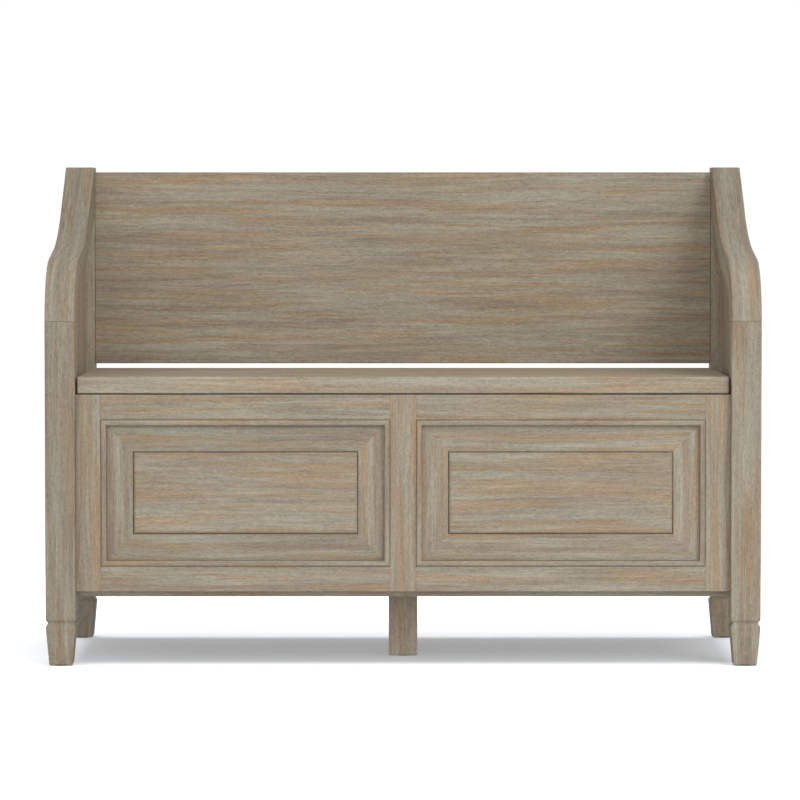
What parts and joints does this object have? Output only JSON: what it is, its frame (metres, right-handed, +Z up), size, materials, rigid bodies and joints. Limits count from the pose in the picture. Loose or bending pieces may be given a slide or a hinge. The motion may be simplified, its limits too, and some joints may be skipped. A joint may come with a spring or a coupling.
{
  "type": "settle bench",
  "caption": "Entryway settle with swept arms, a plain backrest, a raised-panel front and a seat board that lifts over a storage box, on square grooved feet.",
  "frame": {"origin": "middle of the footprint on the floor", "axes": "+X along the bench to the right as seen from the front, +Y to the back, +Z up"},
  "size_m": [1.067, 0.445, 0.7485],
  "materials": {
    "weathered_wood": "grey-brown weathered finish, matte",
    "inner_wood": "plain sawn and lightly stained, matte",
    "zinc_steel": "zinc plated, satin",
    "dark_rubber": "matte"
  },
  "bodies": {
    "bench": {"front_post_left": "weathered_wood", "front_post_right": "weathered_wood", "rear_post_left": "weathered_wood", "rear_post_right": "weathered_wood", "arm_left": "weathered_wood", "arm_right": "weathered_wood", "side_rail_left": "weathered_wood", "side_rail_right": "weathered_wood", "side_panel_left": "weathered_wood", "side_panel_right": "weathered_wood", "end_stile_left": "weathered_wood", "end_stile_right": "weathered_wood", "centre_stile": "weathered_wood", "top_rail_left": "weathered_wood", "top_rail_right": "weathered_wood", "bottom_rail_left": "weathered_wood", "bottom_rail_right": "weathered_wood", "panel_board_left": "weathered_wood", "panel_board_right": "weathered_wood", "field_left": "weathered_wood", "field_right": "weathered_wood", "bead_left": "weathered_wood", "bead_right": "weathered_wood", "backrest_panel": "weathered_wood", "centre_foot": "weathered_wood", "border_left_bottom": "weathered_wood", "border_left_top": "weathered_wood", "border_left_west": "weathered_wood", "border_left_east": "weathered_wood", "border_right_bottom": "weathered_wood", "border_right_top": "weathered_wood", "border_right_west": "weathered_wood", "border_right_east": "weathered_wood", "box_back_panel": "inner_wood", "seat_strip": "inner_wood", "bottom_board": "inner_wood", "centre_bearer": "inner_wood", "front_battens": "inner_wood", "rear_battens": "inner_wood", "lid_ledgers": "inner_wood", "corner_blocks": "inner_wood", "stay_blocks": "inner_wood", "dowels": "inner_wood", "hinge_plates": "zinc_steel", "hinge_pins": "zinc_steel", "stay_box_brackets": "zinc_steel", "frame_screws": "zinc_steel", "foot_glides": "dark_rubber", "lid_bumpers": "dark_rubber"},
    "lid": {"lid": "weathered_wood", "lid_battens": "inner_wood", "hinge_leaves": "zinc_steel", "stay_lid_brackets": "zinc_steel", "lid_screws": "zinc_steel"},
    "stay_lower_left": {"stay_lower_arm_left": "zinc_steel", "stay_rivet_left": "zinc_steel"},
    "stay_upper_left": {"stay_upper_arm_left": "zinc_steel"},
    "stay_lower_right": {"stay_lower_arm_right": "zinc_steel", "stay_rivet_right": "zinc_steel"},
    "stay_upper_right": {"stay_upper_arm_right": "zinc_steel"}
  },
  "joints": [
    {"name": "lid_hinge", "type": "hinge", "parent": "bench", "child": "lid", "pos_m": [0, 0.149, 0.4095], "axis": [-1, 0, 0], "range_deg": [0, 92]},
    {"name": "stay_lower_pivot_left", "type": "hinge", "parent": "bench", "child": "stay_lower_left", "pos_m": [-0.47, 0.115, 0.2795], "axis": [-1, 0, 0], "range_deg": [0, 92]},
    {"name": "stay_knee_left", "type": "hinge", "parent": "stay_lower_left", "child": "stay_upper_left", "pos_m": [-0.46725, -0.018, 0.2635], "axis": [-1, 0, 0], "range_deg": [-92, 0]},
    {"name": "stay_lower_pivot_right", "type": "hinge", "parent": "bench", "child": "stay_lower_right", "pos_m": [0.47, 0.115, 0.2795], "axis": [-1, 0, 0], "range_deg": [0, 92]},
    {"name": "stay_knee_right", "type": "hinge", "parent": "stay_lower_right", "child": "stay_upper_right", "pos_m": [0.46725, -0.018, 0.2635], "axis": [-1, 0, 0], "range_deg": [-92, 0]}
  ],
  "couplings": [
    {"joint": "stay_lower_pivot_left", "follows": "lid_hinge", "ratio": 1},
    {"joint": "stay_knee_left", "follows": "lid_hinge", "ratio": -1},
    {"joint": "stay_lower_pivot_right", "follows": "lid_hinge", "ratio": 1},
    {"joint": "stay_knee_right", "follows": "lid_hinge", "ratio": -1}
  ]
}
